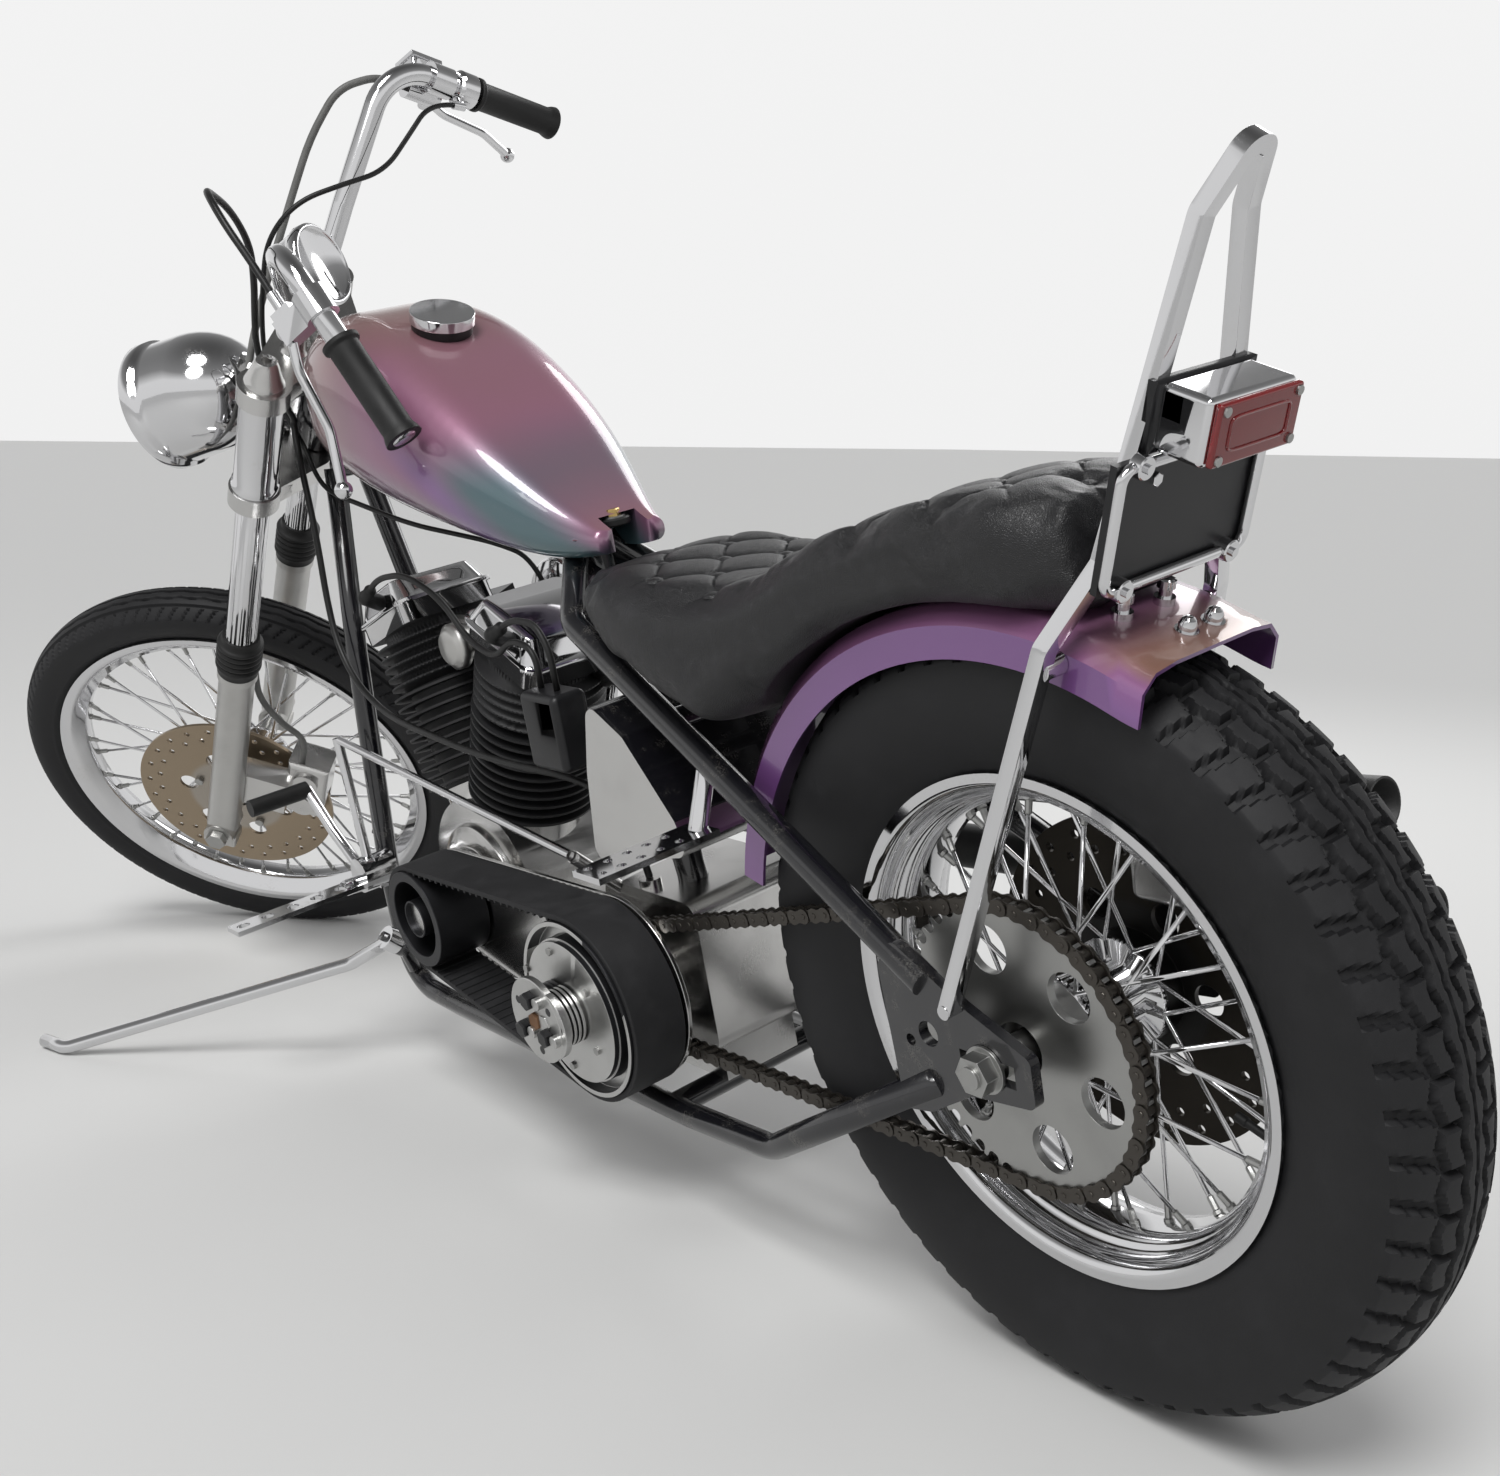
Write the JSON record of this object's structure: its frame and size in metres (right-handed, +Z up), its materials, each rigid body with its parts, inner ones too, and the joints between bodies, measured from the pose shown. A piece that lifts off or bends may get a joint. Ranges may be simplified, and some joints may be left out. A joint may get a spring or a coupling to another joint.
{
  "type": "chopper motorcycle",
  "caption": "Rigid-framed chopper motorcycle leaning on its side stand, with a wide fork, V-twin engine, open belt primary drive, stepped seat and tall loop back rest.",
  "frame": {"origin": "on the floor below the middle of the bounding box, the motorcycle parked leaning on its side stand", "axes": "+X forwards along the motorcycle, +Y to its left, the side it leans to, +Z up from a level floor"},
  "size_m": [2.2612, 0.7446, 1.2425],
  "materials": {
    "belt_rubber": "toothed belt rubber",
    "black_barrel": "black heat-proof paint",
    "black_exhaust": "matt black heat-proof paint",
    "black_plastic": "black plastic",
    "black_rubber": "black rubber",
    "body_paint": "colour-shift paint, bronze to violet and teal",
    "cable_black": "black cable sheath",
    "chrome": "polished chrome plate",
    "clear_lens": "clear glass lens",
    "clutch_alloy": "turned aluminium",
    "dark_steel": "blackened steel",
    "disc_steel": "ground disc steel",
    "frame_paint": "gloss black paint",
    "hose_grey": "grey braided hose",
    "polished_alloy": "polished aluminium",
    "red_lens": "dark red lens",
    "satin_alloy": "satin aluminium",
    "seat_leather": "black leather, button tufted",
    "steel": "zinc plated steel",
    "tyre": "black tyre rubber"
  },
  "bodies": {
    "frame": {"air_cleaner": "chrome", "clutch": "clutch_alloy", "coil_box": "black_plastic", "crankcase": "polished_alloy", "cylinder_heads": "polished_alloy", "cylinders": "black_barrel", "down_tubes": "frame_paint", "drive_chain": "dark_steel", "exhausts": "black_exhaust", "foot_controls": "chrome", "frame_cables": "cable_black", "frame_neck": "frame_paint", "front_pulley": "dark_steel", "fuel_tank": "body_paint", "gearbox": "polished_alloy", "ignition_leads": "black_rubber", "kick_starter": "chrome", "oil_tank": "chrome", "passenger_pegs": "chrome", "plate_frame": "chrome", "primary_belt": "belt_rubber", "primary_plate": "polished_alloy", "pushrods": "chrome", "rear_axle": "steel", "rear_brake": "dark_steel", "rear_caliper": "polished_alloy", "rear_fender": "body_paint", "seat": "seat_leather", "sissy_bar": "chrome", "tail_lamp": "chrome", "tail_lens": "red_lens", "tank_cap": "chrome", "upper_rails": "frame_paint"},
    "fork": {"fork_sliders": "satin_alloy", "fork_tubes": "chrome", "fork_boots": "black_rubber", "triple_trees": "polished_alloy", "handlebar": "chrome", "grips": "black_rubber", "headlamp": "chrome", "headlamp_lens": "clear_lens", "speedometer": "chrome", "front_caliper": "polished_alloy", "front_axle": "steel", "hand_levers": "chrome", "fork_cables": "cable_black", "front_hose": "hose_grey"},
    "front_wheel": {"front_tyre": "tyre", "front_rim": "chrome", "front_hub": "chrome", "front_disc": "disc_steel"},
    "rear_wheel": {"rear_tyre": "tyre", "rear_rim": "chrome", "rear_hub": "chrome", "rear_sprocket": "steel", "rear_disc": "disc_steel"},
    "side_stand": {"side_stand": "chrome"}
  },
  "joints": [
    {"name": "steering", "type": "hinge", "parent": "frame", "child": "fork", "pos_m": [0.37129, 0.04732, 0.82439], "axis": [-0.6229, 0.1627, 0.7652], "range_deg": [-90, 0]},
    {"name": "front_wheel_spin", "type": "hinge", "parent": "fork", "child": "front_wheel", "pos_m": [0.84188, -0.03846, 0.28477], "axis": [-0.5532, 0.6001, -0.5778], "continuous": true},
    {"name": "rear_wheel_spin", "type": "hinge", "parent": "frame", "child": "rear_wheel", "pos_m": [-0.79462, -0.05762, 0.33067], "axis": [0, 0.9781, -0.2079], "continuous": true},
    {"name": "side_stand_fold", "type": "hinge", "parent": "frame", "child": "side_stand", "pos_m": [0.24241, 0.03545, 0.16254], "axis": [0.0152, 0.8574, 0.5144], "range_deg": [0, 110]}
  ]
}
